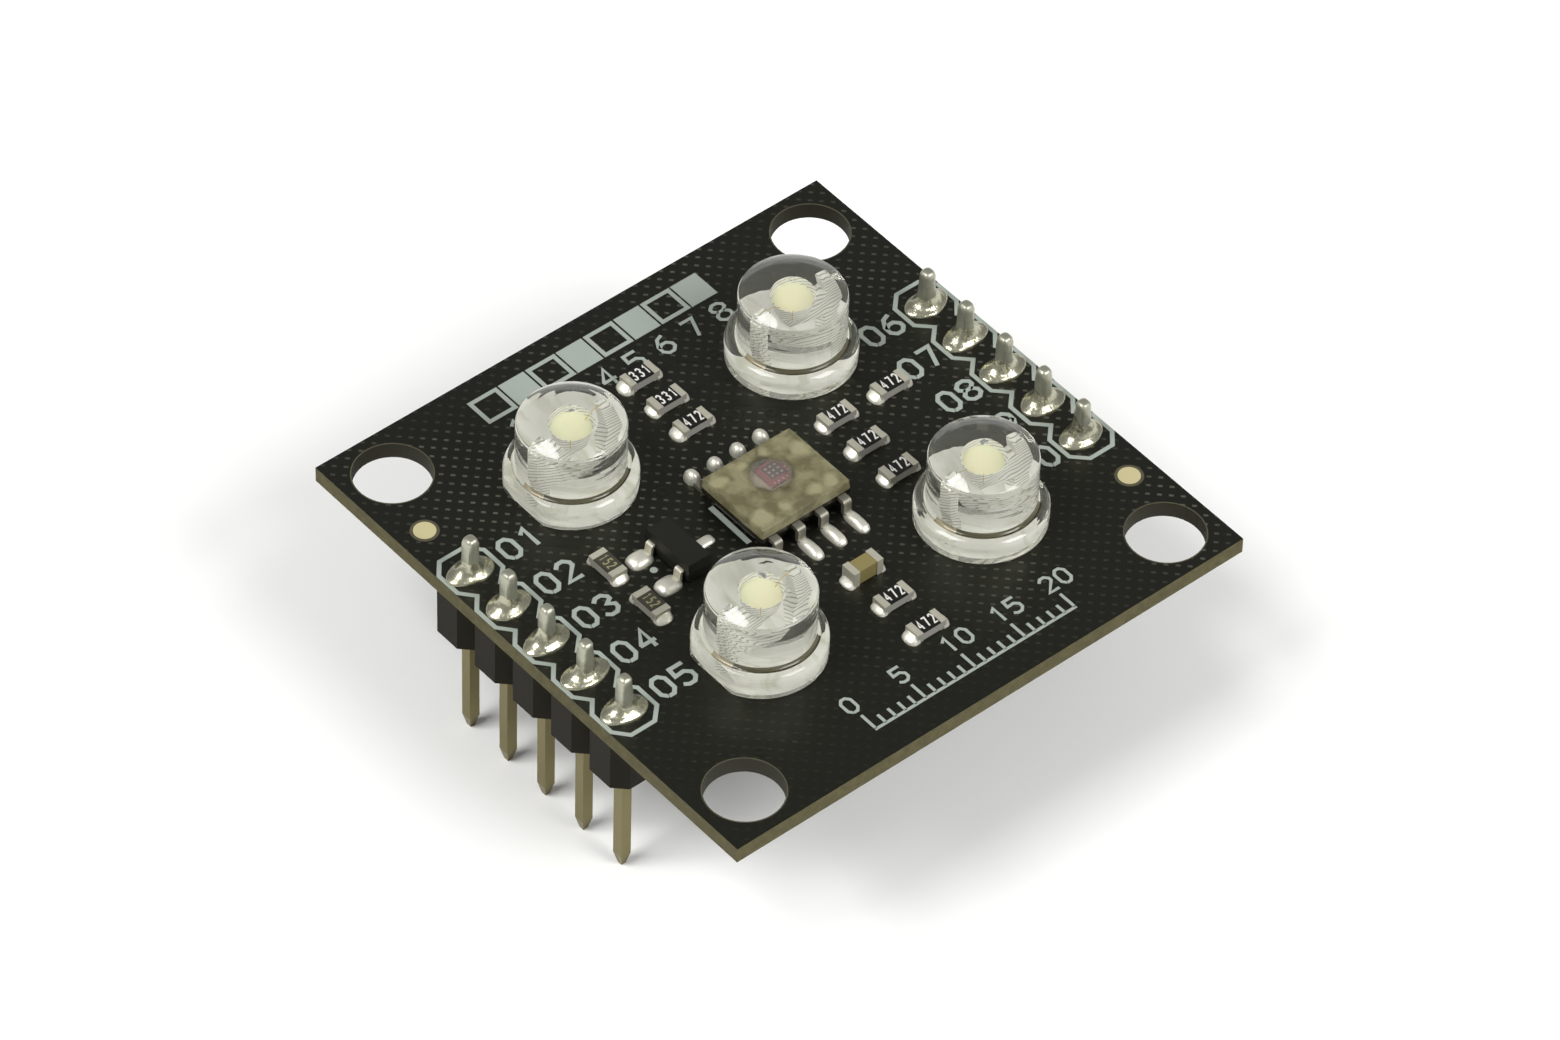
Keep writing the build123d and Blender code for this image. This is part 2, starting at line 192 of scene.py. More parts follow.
def ramp(tree, value, start, end, low=0.0, high=1.0):
    """Socket that runs from low to high while a value runs from start to end, and stays there past them."""
    return add_node(tree, "MapRange", {"Value": value, "From Min": start, "From Max": end,
                                       "To Min": low, "To Max": high}).outputs[0]


def mixed(tree, share, first, second):
    """Socket of two colours, each as hex or a socket, blended by the share of the second."""
    first, second = (linear(colour) if isinstance(colour, str) else colour for colour in (first, second))
    return add_node(tree, "Mix", {"data_type": "RGBA", 0: share, 6: first, 7: second}).outputs[2]


def noise(tree, place, grain, detail=2.0, distortion=0.0):
    """Sockets of noise with a grain in millimetres: Fac and Color."""
    return add_node(tree, "TexNoise", {"Vector": place, "Scale": 1 / (grain * mm), "Detail": detail,
                                       "Distortion": distortion}).outputs


def feed(tree, shader, **sockets):
    """Link sockets to a shader's inputs, which are given by name with _ for a space."""
    for name, socket in sockets.items():
        tree.links.new(socket, shader.inputs[name.replace("_", " ")])


def feed_bump(tree, shader, height, depth, strength=1.0, invert=False):
    """Feed a shader's normal from a height that is worth a depth in millimetres."""
    bump = add_node(tree, "Bump", {"Strength": strength, "Distance": depth * mm, "invert": invert,
                                   "Height": height})
    feed(tree, shader, Normal=bump.outputs["Normal"])


def new_material(name, colour, roughness, metallic=0.0, **more):
    """A material with one Principled shader. More sockets are given by name, with _ for a space."""
    material = bpy.data.materials.new(name)
    material.use_nodes = True
    shader = material.node_tree.nodes["Principled BSDF"]
    more.update(Base_Color=linear(colour), Roughness=roughness, Metallic=metallic)
    for socket, value in more.items():
        shader.inputs[socket.replace("_", " ")].default_value = value
    return material, material.node_tree, shader


def plain(*look, **more):
    """A material with one Principled shader and nothing that varies over its face."""
    return new_material(*look, **more)[0]


def paint(node, material):
    """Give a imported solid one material."""
    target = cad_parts[node]
    target.data.materials.clear()
    target.data.materials.append(material)


# Helpers: surfaces

def grid_faces(rows, columns, around=True):
    """Quads between neighbouring points of a grid; around joins the last column to the first."""
    row = np.arange(rows - 1)[:, None]
    column = np.arange(columns if around else columns - 1)[None, :]
    after = (column + 1) % columns
    corners = (row * columns + column, row * columns + after,
               (row + 1) * columns + after, (row + 1) * columns + column)
    return np.stack(np.broadcast_arrays(*corners), axis=-1).reshape(-1, 4)


def new_object(name, data):
    """An object of a mesh, light or camera, linked to the scene."""
    made = bpy.data.objects.new(name, data)
    bpy.context.scene.collection.objects.link(made)
    return made


def finished(name, mesh, material, crease=35):
    """The piece of a mesh: smooth but for edges sharper than the crease in degrees, in one material."""
    mesh.shade_smooth()
    mesh.set_sharp_from_angle(angle=radians(crease))
    mesh.materials.clear()
    mesh.materials.append(material)
    made = new_object(name, mesh)
    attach(made, "root")
    return made


def make_piece(name, surfaces, material, crease=35):
    """One object from grids of points in millimetres, each rows x columns x 3 and closed round its columns.

    Points that coincide are merged, open ends filled and faces turned outwards, so poles and seams close.
    """
    points = []
    faces = []
    count = 0
    for grid in surfaces:
        rows, columns = grid.shape[:2]
        points.append(grid.reshape(-1, 3))
        faces.append(grid_faces(rows, columns) + count)
        count += rows * columns
    mesh = bpy.data.meshes.new(name)
    mesh.from_pydata((np.concatenate(points) * mm).tolist(), [], np.concatenate(faces).tolist())
    shape = bmesh.new()
    shape.from_mesh(mesh)
    bmesh.ops.remove_doubles(shape, verts=shape.verts, dist=1e-7)
    bmesh.ops.dissolve_degenerate(shape, edges=shape.edges, dist=1e-8)
    bmesh.ops.holes_fill(shape, edges=[edge for edge in shape.edges if edge.is_boundary], sides=0)
    bmesh.ops.recalc_face_normals(shape, faces=shape.faces)
    shape.to_mesh(mesh)
    shape.free()
    return finished(name, mesh, material, crease)


def revolved(profile, centre, segments=96):
    """Grid of a profile of (radius, height) points turned about the upright line through centre."""
    profile = np.asarray(profile, float)
    angle = np.linspace(0, 2 * pi, segments, endpoint=False)
    x = centre[0] + profile[:, :1] * np.cos(angle)
    y = centre[1] + profile[:, :1] * np.sin(angle)
    z = centre[2] + np.repeat(profile[:, 1:], segments, axis=1)
    return np.stack([x, y, z], axis=-1)


def arc(centre, radius, start, end, steps):
    """Points of an arc in a profile, its angles in degrees."""
    angle = np.radians(np.linspace(start, end, steps))
    return np.stack([centre[0] + radius * np.cos(angle), centre[1] + radius * np.sin(angle)], axis=-1)


def ribbon(path, width, low, high, closed=False):
    """Grid of a flat strip along a path of (x, y) points, from height low to high, with mitred corners.

    Each point moves sideways by half the width along the mean of its two stretches' normals.
    """
    path = np.asarray(path, float)
    if closed:
        before = np.roll(path, 1, axis=0)
        after = np.roll(path, -1, axis=0)
    else:
        before = np.vstack([path[0] * 2 - path[1], path[:-1]])
        after = np.vstack([path[1:], path[-1] * 2 - path[-2]])
    way_in = path - before
    way_out = after - path
    way_in /= np.linalg.norm(way_in, axis=1, keepdims=True)
    way_out /= np.linalg.norm(way_out, axis=1, keepdims=True)
    normal_in = np.stack([-way_in[:, 1], way_in[:, 0]], axis=-1)
    normal_out = np.stack([-way_out[:, 1], way_out[:, 0]], axis=-1)
    mean = normal_in + normal_out
    mean /= np.maximum(np.linalg.norm(mean, axis=1, keepdims=True), 1e-6)
    stretch = 1 / np.maximum(np.sum(mean * normal_in, axis=1, keepdims=True), 0.6)
    side = mean * stretch * width / 2
    left = path + side
    right = path - side
    rows = [np.column_stack([edge, np.full(len(edge), height)])
            for edge, height in ((left, low), (left, high), (right, high), (right, low))]
    grid = np.stack(rows, axis=1)
    return np.concatenate([grid, grid[:1]]) if closed else grid


def tube(path, radius, sides=8):
    """Grid of a round wire along a path of points: a ring of sides at each, square to the path."""
    path = np.asarray(path, float)
    way = np.gradient(path, axis=0)
    way /= np.linalg.norm(way, axis=1, keepdims=True)
    across = np.cross(way, (0.0, 0.0, 1.0))
    across /= np.maximum(np.linalg.norm(across, axis=1, keepdims=True), 1e-6)
    over = np.cross(across, way)
    angle = np.linspace(0, 2 * pi, sides, endpoint=False)
    ring = across[:, None] * np.cos(angle)[:, None] + over[:, None] * np.sin(angle)[:, None]
    return path[:, None] + ring * radius


def turned(points, place, turn):
    """Points turned about z by degrees and moved to a place (x, y, z)."""
    a = radians(turn)
    x = points[..., 0] * cos(a) - points[..., 1] * sin(a) + place[0]
    y = points[..., 0] * sin(a) + points[..., 1] * cos(a) + place[1]
    return np.stack([x, y, points[..., 2] + place[2]], axis=-1)


def disc(x, y, radius, low, high, segments=40, inner=0.0):
    """Grid of a flat disc, or of a ring if it has an inner radius, between two heights."""
    profile = [(inner, low), (radius, low), (radius, high), (inner, high)]
    if inner:
        profile.append(profile[0])
    return revolved(profile, (x, y, 0), segments)


# Materials

mask_colour = "0d0d0a"
mask_tint = linear("e4e6cf")
mask_roughness = 0.38


def board_material():
    """Black solder mask over a glass-epoxy board with a hatched copper pour.

    The mask gives a smooth dark semi-gloss face with an olive cast. The pour's openings, on a 0.508 mm
    lattice turned 45 degrees, are dimpled as a bump and painted as small lighter dashes, a painted glint on
    each opening's lit edge, that fade towards the front corner. The sawn edges show the bare tan laminate,
    and the drilled walls are painted near black: painted shade inside the holes.
    """
    half_pitch = 0.254
    openings = (("X", 0.075, 0.035), ("Y", 0.125, 0.075))
    edge_depth = 0.03
    material, tree, shader = new_material("solder mask on glass-epoxy laminate", mask_colour, mask_roughness,
                                          IOR=1.50, Specular_Tint=mask_tint)
    place = object_place(tree)
    turn = add_node(tree, "Mapping", {"Location": (0.18 * mm, 0.18 * mm, 0), "Rotation": (0, 0, radians(45)),
                                      "Vector": place})
    lattice = parts_of(tree, turn.outputs["Vector"])
    inside = []
    for axis, outer, inner in openings:
        wrapped = calculate(tree, "WRAP", lattice[axis], half_pitch * mm, -half_pitch * mm)
        inside.append(ramp(tree, calculate(tree, "ABSOLUTE", wrapped), outer * mm, inner * mm))
    opening = calculate(tree, "MULTIPLY", *inside)
    strength = ramp(tree, noise(tree, place, 5.5)["Fac"], 0.40, 0.62, 0.20, 1.0)
    to_front = add_node(tree, "VectorMath", {"operation": "DOT_PRODUCT", 0: place, 1: (0.66, -0.75, 0.0)})
    faded = ramp(tree, to_front.outputs["Value"], 3.0 * mm, 9.0 * mm, 1.0, 0.12)
    # The lighter dashes are a painted glint on each opening's lit edge; the opening's dimple is the bump
    # below
    painted_glint = calculate(tree, "MULTIPLY", opening, calculate(tree, "MULTIPLY", strength, faded))
    mask = mixed(tree, painted_glint, mask_colour, "4b4b43")
    sawn = mixed(tree, noise(tree, place, 0.30, 3.0)["Fac"], "312b17", "5a5434")
    parts = parts_of(tree, place)
    out_x = calculate(tree, "ABSOLUTE", parts["X"])
    out_y = calculate(tree, "ABSOLUTE", parts["Y"])
    furthest = calculate(tree, "MAXIMUM", out_x, out_y)
    outside = calculate(tree, "GREATER_THAN", furthest, (board_half - edge_depth) * mm)
    # Faces off the top that are not sawn edges, the drilled walls, are painted near black: painted shade
    # inside the holes
    edge = mixed(tree, outside, "1d1a12", sawn)
    normal = parts_of(tree, add_node(tree, "NewGeometry", {}).outputs["Normal"])
    face = calculate(tree, "GREATER_THAN", calculate(tree, "ABSOLUTE", normal["Z"]), 0.5)
    feed(tree, shader, Base_Color=mixed(tree, face, edge, mask),
         Roughness=ramp(tree, face, 0.0, 1.0, 0.75, mask_roughness))
    feed_bump(tree, shader, calculate(tree, "MULTIPLY", opening, face), 0.02, 0.35, invert=True)
    return material


def moulding_material():
    """Clear epoxy of the sensor, aged to olive and cloudy: soft highlights, its inside seen only faintly.

    It stays clear and colourless in the window over the die and turns cloudy past its edge. Where the
    leads' inner ends lie close under the face it is paler, in soft patches. The face below the leads lies
    in the package's own shade, so it is dark.
    """
    material, tree, shader = new_material("clear moulding epoxy", "8f8a6c", 0.26, IOR=1.54)
    place = object_place(tree)
    drift = noise(tree, place, 0.55, 1.5)["Color"]
    shift = add_node(tree, "VectorMath", {"operation": "MULTIPLY_ADD", 0: drift, 1: (0.5 * mm,) * 3,
                                          2: (-0.25 * mm,) * 3})
    drifted = add_node(tree, "VectorMath", {"operation": "ADD", 0: place, 1: shift.outputs[0]}).outputs[0]

    def near_point(x, y, inner, outer):
        """Socket that gives 1 up to the inner distance of a point of the top, 0 past the outer one."""
        point = (x * mm, y * mm, chip_high[2] * mm)
        away = add_node(tree, "VectorMath", {"operation": "DISTANCE", 0: drifted, 1: point})
        return ramp(tree, away.outputs["Value"], inner * mm, outer * mm, 1.0, 0.0)

    patches = 0.0
    for x, y, inner in inner_lead_patches:
        patches = calculate(tree, "MAXIMUM", patches, near_point(x, y, inner - 0.08, inner + 0.16))
    cloudy = mixed(tree, ramp(tree, noise(tree, drifted, 0.8, 3.0)["Fac"], 0.38, 0.62), "666145", "868263")
    patched = mixed(tree, patches, cloudy, "979271")
    dark_below = (board_top + chip_dark_below) * mm
    shade = ramp(tree, parts_of(tree, place)["Z"], dark_below - 0.03 * mm, dark_below)
    lit = mixed(tree, shade, "1e1a11", patched)
    window_middle = chip_centre[:2] + window_offset
    window = near_point(*window_middle, window_radius - 0.50, window_radius - 0.02)
    pale = near_point(*window_middle, window_radius - 0.60, window_radius - 0.30)
    feed(tree, shader, Base_Color=mixed(tree, pale, lit, "f6efe9"),
         Transmission_Weight=ramp(tree, window, 0.0, 1.0, 0.16, 0.90))
    feed_bump(tree, shader, noise(tree, place, 0.4)["Fac"], 0.012)
    return material


def by_height(name, height, below, above):
    """A material whose colour, metal and roughness change at a height in millimetres."""
    material, tree, shader = new_material(name, below[0], below[2], below[1])
    over = calculate(tree, "GREATER_THAN", parts_of(tree, object_place(tree))["Z"], height * mm)
    feed(tree, shader, Base_Color=mixed(tree, over, below[0], above[0]),
         Metallic=ramp(tree, over, 0.0, 1.0, below[1], above[1]),
         Roughness=ramp(tree, over, 0.0, 1.0, below[2], above[2]))
    return material


def uneven(name, colour, roughness, metallic, grain, depth, **more):
    """A material with a fine uneven surface: noise of a grain size and depth in millimetres as a bump."""
    material, tree, shader = new_material(name, colour, roughness, metallic, **more)
    feed_bump(tree, shader, noise(tree, object_place(tree), grain)["Fac"], depth)
    return material


def striated(name, light, dark, roughness, metallic, spacing, depth):
    """A stamped metal with drawing lines a spacing apart in millimetres: a bump, with painted shade along
    each line in a darker colour.

    The lines run along Y and lean, so they show on upright faces and on level ones.
    """
    material, tree, shader = new_material(name, light, roughness, metallic)
    leaned = add_node(tree, "Mapping", {"Rotation": (0, radians(35), 0), "Vector": object_place(tree)})
    # A wave texture of scale s repeats every 2 pi / (20 s)
    lines = add_node(tree, "TexWave", {"wave_type": "BANDS", "bands_direction": "Z",
                                       "Scale": 2 * pi / (20 * spacing * mm), "Distortion": 5.0,
                                       "Detail": 2.0, "Detail Scale": 0.5,
                                       "Vector": leaned.outputs["Vector"]}).outputs["Fac"]
    # The darker colour along the lines is painted shade
    feed(tree, shader, Base_Color=mixed(tree, ramp(tree, lines, 0.03, 0.30), dark, light))
    feed_bump(tree, shader, lines, depth)
    return material


def streaked(name, light, dark, roughness, length, breadth):
    """A rough cast face, mottled between two colours in streaks of a length and breadth in millimetres."""
    material, tree, shader = new_material(name, light, roughness)
    stretched = add_node(tree, "Mapping", {"Rotation": (0, 0, radians(-40)),
                                           "Scale": (1.0, length / breadth, 1.0),
                                           "Vector": object_place(tree)})
    mottle = noise(tree, stretched.outputs["Vector"], length, 4.0, 0.6)["Fac"]
    feed(tree, shader, Base_Color=mixed(tree, ramp(tree, mottle, 0.32, 0.52), dark, light))
    return material


board_finish = board_material()
# Gold-flashed square brass: satin tan metal with a soft sheen, grey with solder above the board
pin_finish = by_height("gold-flashed drawn brass pin", board_top, ("7b724c", 0.85, 0.36),
                       ("a9a69b", 0.95, 0.40))
# Injection-moulded black nylon: dull, dark grey-black
housing_finish = uneven("moulded black nylon", "0b0a07", 0.60, 0.0, 0.12, 0.003,
                        Specular_Tint=linear("d2c69c"), Specular_IOR_Level=0.22)
# Hand-soldered tin-lead under a film of flux: bright grey metal with an olive cast, broken by slow waves
solder_finish = uneven("tin-lead solder", "b3b19b", 0.26, 0.95, 0.42, 0.050)
# The same solder wiped thin over the pins: duller and rougher
coat_finish = uneven("tin-lead wiped over the pin", "acac9b", 0.38, 0.80, 0.30, 0.030)
# Reflowed tin-lead on the small parts: pale, with broad soft highlights
reflow_finish = uneven("reflowed tin-lead solder", "dedccf", 0.38, 0.65, 0.30, 0.018)
# Clear epoxy cast in a polished mould: nearly colourless, sharp highlights, a little haze
casting_finish = uneven("clear cast epoxy", "fcfcee", 0.02, 0.0, 0.9, 0.003,
                        Transmission_Weight=0.97, IOR=1.53)
# Round the foot of the body, on the side away from the light, a dark olive line of painted shade: it stands
# in for the crease's shade and for the mask seen in the resin
root_painted_shade_finish = plain("cast epoxy with painted shade at the flange's root", "3f3b26", 0.10, Transmission_Weight=0.50, IOR=1.53)
# Where that line meets the leads, a short arc of it is beige
beige_root_finish = plain("cast epoxy, beige at the flange's root", "9c8f6e", 0.15, Transmission_Weight=0.65, IOR=1.53)
# Free surface under the casting: frosted, so it reads pale through the clear resin
frosted_finish = streaked("frosted foot of the cast epoxy", "ffffff", "e4e4da", 0.5, 1.5, 0.50)
# Silver-plated stamped copper: white and soft, with drawing lines that are coarser than real so they show,
# as a bump and as painted shade along each line
leadframe_finish = striated("silver-plated leadframe", "ffffff", "b6b4a6", 0.36, 0.10, 0.14, 0.010)
# Phosphor in cured silicone: matt pale yellow
phosphor_finish = uneven("phosphor in cured silicone", "f8f5d6", 0.7, 0.0, 0.05, 0.002,
                         Subsurface_Weight=0.2, Subsurface_Scale=0.2 * mm)
# Sapphire LED die: smooth blue-grey
led_die_finish = plain("sapphire LED die", "9fb2bd", 0.1)
# Copper pad wetted by die-attach resin: dull pale tan
die_pad_finish = uneven("resin-wetted die pad", "ddd7b8", 0.60, 0.0, 0.3, 0.01)
moulding_finish = moulding_material()
# Colour-filtered silicon: dark red with a glassy face
silicon_finish = uneven("silicon die with red filter resin", "93423e", 0.45, 0.0, 0.06, 0.004)
# Photodiodes of the die: near black windows
cell_finish = plain("photodiode windows", "2a2118", 0.5)
# Bare metal of the die's contacts, pinkish under the resin
contact_finish = plain("die contacts", "c8a796", 0.5)
# Tin-plated leads: greyer and duller than solder
lead_finish = uneven("matt tin plating", "8b887c", 0.45, 0.75, 0.15, 0.004)
# Tinned ends of the chip parts: pale, slightly rough metal
terminal_finish = uneven("tinned terminal", "c2bfae", 0.48, 0.6, 0.12, 0.012)
# Fired barium titanate: even matt tan
capacitor_finish = uneven("fired capacitor ceramic", "796e44", 0.55, 0.0, 0.08, 0.002)
# Black moulding epoxy: matt from its mould's spark-eroded face
transistor_finish = uneven("black moulding epoxy", "0f0f0d", 0.50, 0.0, 0.07, 0.004, Specular_Tint=mask_tint)
# White epoxy ink pressed through a screen: matt, with a slight greenish grey
ink_finish = uneven("screen-printed epoxy ink", "929a91", 0.65, 0.0, 0.15, 0.006)
# White ink on the resistors
code_finish = plain("resistor code ink", "cccbc4", 0.6)
# Faded ink on the two resistors by the transistor
faded_code_finish = plain("faded resistor code ink", "8d8863", 0.6)
# Gold over nickel on copper: pale gold, satin
gold_finish = uneven("gold-plated copper", "d2c89a", 0.50, 0.45, 0.2, 0.003)
# Gold bond wire: soft yellow metal
wire_finish = plain("gold bond wire", "e6c878", 0.35, 1.0)
# Bare laminate where the mask stops short of a drilled hole: matt olive brown
laminate_finish = plain("bare glass-epoxy laminate", "45422f", 0.7)
# Black mask raised over a copper track: as smooth and dark as the mask beside it
mask_finish = plain("solder mask over a track", mask_colour, 0.37, Specular_Tint=mask_tint)
# Fired alumina: matt grey sides, and a glossy dark glaze on top that is worn on the last two
resistor_glaze = board_top + 0.44
resistor_finish = by_height("glazed alumina", resistor_glaze, ("918f88", 0.0, 0.50), ("0b0b09", 0.0, 0.30))
worn_resistor_finish = by_height("glazed alumina, worn", resistor_glaze, ("8d8b80", 0.0, 0.50),
                                 ("35332a", 0.0, 0.40))

paint("circuit_board", board_finish)
for side in ("near", "far"):
    paint(f"header_pins_{side}", pin_finish)
    paint(f"header_housing_{side}", housing_finish)
    paint(f"header_solder_{side}", solder_finish)
for number in led_numbers:
    paint(f"led_anode_{number}", leadframe_finish)
    paint(f"led_cathode_{number}", leadframe_finish)
    paint(f"led_die_{number}", led_die_finish)
    paint(f"led_phosphor_{number}", phosphor_finish)
    paint(f"led_lens_{number}", casting_finish)
paint("led_solder", solder_finish)
for number in range(1, 9):
    paint(f"sensor_lead_{number}", lead_finish)
paint("sensor_die_pad", die_pad_finish)
paint("sensor_die", silicon_finish)
for number in range(1, 12):
    paint(f"resistor_{number}", worn_resistor_finish if number > 9 else resistor_finish)
paint("resistor_terminals", terminal_finish)
paint("capacitor_body", capacitor_finish)
paint("capacitor_terminals", terminal_finish)
for number in range(1, 4):
    paint(f"transistor_lead_{number}", terminal_finish)
paint("transistor_body", transistor_finish)
paint("surface_solder", reflow_finish)


# LED castings and their bond wires

def casting_profile(flange_radius, crown_height, frost_radius):
    """Profile of a casting from the middle of its foot out and up to the top of its low dome.

    A rounded flange, a straight body with a slightly rounded rim, and a crown on one arc. The flange's
    side and the wall have extra points, so that they can carry ripples.
    """
    body = lens_radius
    rise = crown_height - lens_rim_height
    crown_radius = (body ** 2 + rise ** 2) / (2 * rise)
    crown_edge = np.degrees(np.arcsin(body / crown_radius))
    crown = arc((0, crown_height - crown_radius), crown_radius, 90 - crown_edge * 0.97, 90, 14)
    shoulder = arc((flange_radius - flange_round, flange_height - flange_round), flange_round, 0, 90, 22)
    root = arc((body + root_radius, flange_height + root_radius), root_radius, 270, 180, 6)
    rim = arc((body - lens_rim_round, lens_rim_height - lens_rim_round), lens_rim_round, 0, 50, 4)
    foot = [(0, casting_gap), (frost_radius, casting_gap), (flange_radius - 0.05, casting_gap)]
    side_heights = np.linspace(casting_gap + 0.05, flange_height - flange_round - 0.04, 10)
    side = np.column_stack([np.full_like(side_heights, flange_radius), side_heights])
    wall_foot = flange_height + root_radius + 0.03
    wall_heights = np.linspace(wall_foot, lens_rim_height - lens_rim_round - 0.05, 80)
    wall = np.column_stack([np.full_like(wall_heights, body), wall_heights])
    return np.vstack([foot, side, shoulder, root, wall, rim, crown])


def rippled(grid, centre, depth, length, seed):
    """Push a revolved grid out and in along its normals by sine bands of a length in millimetres.

    Slower sines round the circle bend the bands and fade them in and out. The foot stays flat.
    """
    turn = np.linspace(0, 2 * pi, grid.shape[1], endpoint=False)[None, :]
    away = np.hypot(grid[:, 0, 0] - centre[0], grid[:, 0, 1] - centre[1])
    profile = np.column_stack([away, grid[:, 0, 2]])
    along = np.concatenate([[0], np.cumsum(np.linalg.norm(np.diff(profile, axis=0), axis=1))])[:, None]
    way = np.gradient(profile, axis=0)
    way /= np.linalg.norm(way, axis=1, keepdims=True)
    bend = 2.4 * np.sin(turn + seed) + 1.2 * np.sin(2 * turn + 2 * seed) + 0.6 * np.sin(5 * turn - seed)
    fade = np.clip(0.35 + 0.65 * np.sin(3 * turn + 1.7 * seed + 0.8 * along), 0, 1)
    push = depth * fade * np.sin(2 * pi * along / length + bend)
    push = np.where((way[:, :1] > 0.5) & (profile[:, 1:] < board_top + casting_gap + 0.02), 0, push)
    grid[..., 0] += push * way[:, 1:] * np.cos(turn)
    grid[..., 1] += push * way[:, 1:] * np.sin(turn)
    grid[..., 2] -= push * way[:, :1]
    return grid


for number in led_numbers:
    low, high = led_boxes[number]
    centre = led_middles[number]
    flange_radius = (high[0] - low[0]) / 2
    frost_radius = frost_radii[number]
    grid = revolved(casting_profile(flange_radius, high[2] - board_top, frost_radius),
                    (centre[0], centre[1], board_top))
    grid = rippled(grid, centre, *slow_ripples, number * 1.9)
    grid = rippled(grid, centre, *fine_ripples, number * 1.9 + 4)
    flat = (flange_radius - flange_flat_cut) * led_flats[number]
    nearer = np.minimum if led_flats[number] > 0 else np.maximum
    grid[..., 1] = nearer(grid[..., 1], centre[1] + flat)
    casting = make_piece(f"led_casting_{number}", [grid], casting_finish, 30)
    for finish in (frosted_finish, root_painted_shade_finish, beige_root_finish):
        casting.data.materials.append(finish)
    for face in casting.data.polygons:
        across = (face.center.x / mm - centre[0], face.center.y / mm - centre[1])
        away = np.hypot(*across)
        height = face.center.z / mm - board_top
        over_flange = height - flange_height
        if face.normal.z < -0.9 and height < casting_gap * 1.5 and away < frost_radius:
            face.material_index = 1
        # Round the root, faces take the dark line of painted shade, or the beige arc
        elif lens_radius - 0.03 < away < lens_radius + root_radius and 0 < over_flange < root_radius:
            azimuth = np.degrees(np.arctan2(across[1], across[0]))
            if painted_shade_azimuths[0] < azimuth < painted_shade_azimuths[1]:
                face.material_index = 2
            elif beige_root_azimuths[0] < azimuth <= beige_root_azimuths[1]:
                face.material_index = 3
    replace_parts(casting, f"led_lens_{number}")


def thin_cup(number):
    """Copy of a packed cathode with its cup's inner wall moved out, so that the cup's wall is thin.

    Between floor and rim the inner radius grows as a power of the height, just inside the outer cone.
    """
    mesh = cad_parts[f"led_cathode_{number}"].data.copy()
    shape = bmesh.new()
    shape.from_mesh(mesh)
    bmesh.ops.remove_doubles(shape, verts=shape.verts, dist=1e-7)
    shape.to_mesh(mesh)
    shape.free()
    points = np.empty(len(mesh.vertices) * 3)
    mesh.vertices.foreach_get("co", points)
    points = points.reshape(-1, 3)
    centre = led_middles[number]
    share = (points[:, 2] / mm - board_top - cup_floor_height) / (cup_rim_height - cup_floor_height)
    across = points[:, :2] / mm - centre[:2]
    away = np.maximum(np.linalg.norm(across, axis=1), 1e-6)
    cone = cup_floor_radius + (cup_rim_radius - cup_floor_radius) * share
    inner = (share > 0.01) & (share < 1.01) & (away < cone + 0.02)
    wanted = cup_floor_radius + (thin_rim_radius - cup_floor_radius) * np.clip(share, 0, 1) ** 0.6
    moved = (centre[:2] + across * (wanted / away)[:, None]) * mm
    points[:, :2] = np.where(inner[:, None], moved, points[:, :2])
    mesh.vertices.foreach_set("co", points.ravel())
    return finished(f"led_reflector_{number}", mesh, leadframe_finish)


for number in led_numbers:
    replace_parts(thin_cup(number), f"led_cathode_{number}")
    middle = led_middles[number]
    fill = [(0, cup_floor_height + 0.002), (cup_floor_radius - 0.01, cup_floor_height + 0.002),
            (phosphor_edge_radius, phosphor_height + 0.02), (0.70, phosphor_height + 0.004),
            (0.60, phosphor_height), (0, phosphor_height)]
    fill_piece = make_piece(f"led_fill_{number}", [revolved(fill, (middle[0], middle[1], board_top), 64)],
                            phosphor_finish)
    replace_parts(fill_piece, f"led_phosphor_{number}")


def bond_wire(start, end, rise, radius):
    """Grid of a wire from start to end that loops up by rise along a half sine."""
    t = np.linspace(0, 1, 14)[:, None]
    path = np.asarray(start) * (1 - t) + np.asarray(end) * t
    path[:, 2:] += rise * np.sin(pi * t)
    return tube(path, radius, 6)


led_wires = []
for number in led_numbers:
    middle = led_middles[number]
    post_middle = middle_of(f"led_anode_{number}")
    post_high = node_box(f"led_anode_{number}")[1]
    side_y = np.sign(post_middle[1] - middle[1])
    fill_edge = (middle[0], middle[1] + side_y * 0.60, board_top + phosphor_height)
    post_top = (middle[0], middle[1] + side_y * 1.40, post_high[2])
    led_wires.append(bond_wire(fill_edge, post_top, 0.16, led_wire_radius))
    rim_start = (middle[0] + 0.50, middle[1] - 0.44, board_top + phosphor_height)
    shelf = (middle[0] + 0.74, middle[1] - 0.66, board_top + cup_rim_height - 0.30)
    led_wires.append(bond_wire(rim_start, shelf, 0.36, led_wire_radius))
make_piece("led_bond_wires", led_wires, wire_finish)


# Sensor chip: clear moulding, die cells and bond wires

package_corner = 0.10
package_draft = 0.08
under_draft = 0.24
window_step = 0.03
ring_radius = 1.42
ring_depth = 0.022
ring_breadth = 0.06
pin_mark_radius = 0.42
pin_mark_depth = 0.025
pin_marks = ((-1.42, -1.96), (1.35, -1.89), (1.30, 1.80), (-1.42, 1.80))


def rounded_rectangle(half_x, half_y, corner, steps):
    """Closed outline of a rectangle with round corners: the same number of points on each quarter."""
    quarter = []
    for centre_x, centre_y, start in ((1, 1, 0), (-1, 1, 90), (-1, -1, 180), (1, -1, 270)):
        middle = (centre_x * (half_x - corner), centre_y * (half_y - corner))
        quarter.append(arc(middle, corner, start, start + 90, steps))
    return np.vstack(quarter)


